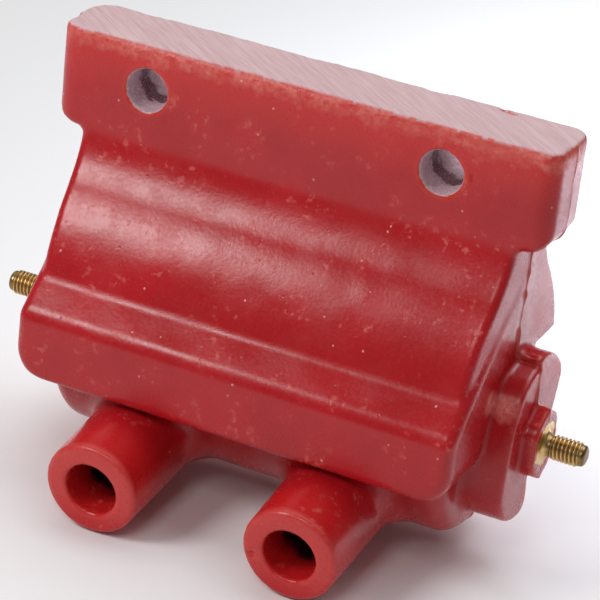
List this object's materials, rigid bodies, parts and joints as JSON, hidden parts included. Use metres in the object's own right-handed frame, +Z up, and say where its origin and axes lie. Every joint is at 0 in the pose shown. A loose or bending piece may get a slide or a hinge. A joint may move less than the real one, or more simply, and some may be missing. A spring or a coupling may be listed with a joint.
{
  "type": "ignition coil",
  "caption": "Cast epoxy dual-output ignition coil with a drilled flange, threaded terminal studs, hollow high-tension towers and a laminated coil pack inside.",
  "frame": {"origin": "midway between the two flange bolt holes, on the flange's rear mounting face", "axes": "+X along the terminal studs, +Y back into the bracket, +Z up; the towers point towards -Y"},
  "size_m": [0.123, 0.0623, 0.0855],
  "materials": {
    "red_epoxy": "glossy cast epoxy with a sawn, matt top face",
    "stud_brass": "machined, lightly tarnished",
    "lug_brass": "stamped, satin",
    "copper_lead": "tinned copper, satin",
    "lead_insulation": "enamel sleeving, satin",
    "core_steel": "oxide-coated laminations",
    "rivet_steel": "zinc plated",
    "kraft_paper": "uncoated",
    "pressboard": "calendered",
    "bobbin_plastic": "moulded nylon",
    "enamelled_wire": "enamelled copper wire, glossy",
    "fine_winding": "fine enamelled wire, glossy",
    "polyester_tape": "polyester film"
  },
  "bodies": {
    "root": {"housing": "red_epoxy", "left_terminal_stud": "stud_brass", "right_terminal_stud": "stud_brass", "left_solder_lug": "lug_brass", "right_solder_lug": "lug_brass", "left_primary_lead": "copper_lead", "right_primary_lead": "copper_lead", "left_ht_terminal": "lug_brass", "right_ht_terminal": "lug_brass", "left_ht_lead": "lead_insulation", "right_ht_lead": "lead_insulation", "core_limb": "core_steel", "core_yoke": "core_steel", "left_gap_shim": "pressboard", "right_gap_shim": "pressboard", "core_rivets": "rivet_steel", "core_wrap": "kraft_paper", "primary_bobbin": "bobbin_plastic", "primary_winding": "enamelled_wire", "primary_wrap": "kraft_paper", "secondary_bobbin": "bobbin_plastic", "secondary_winding": "fine_winding", "secondary_tape": "polyester_tape", "left_end_insulator": "pressboard", "right_end_insulator": "pressboard"}
  },
  "joints": []
}
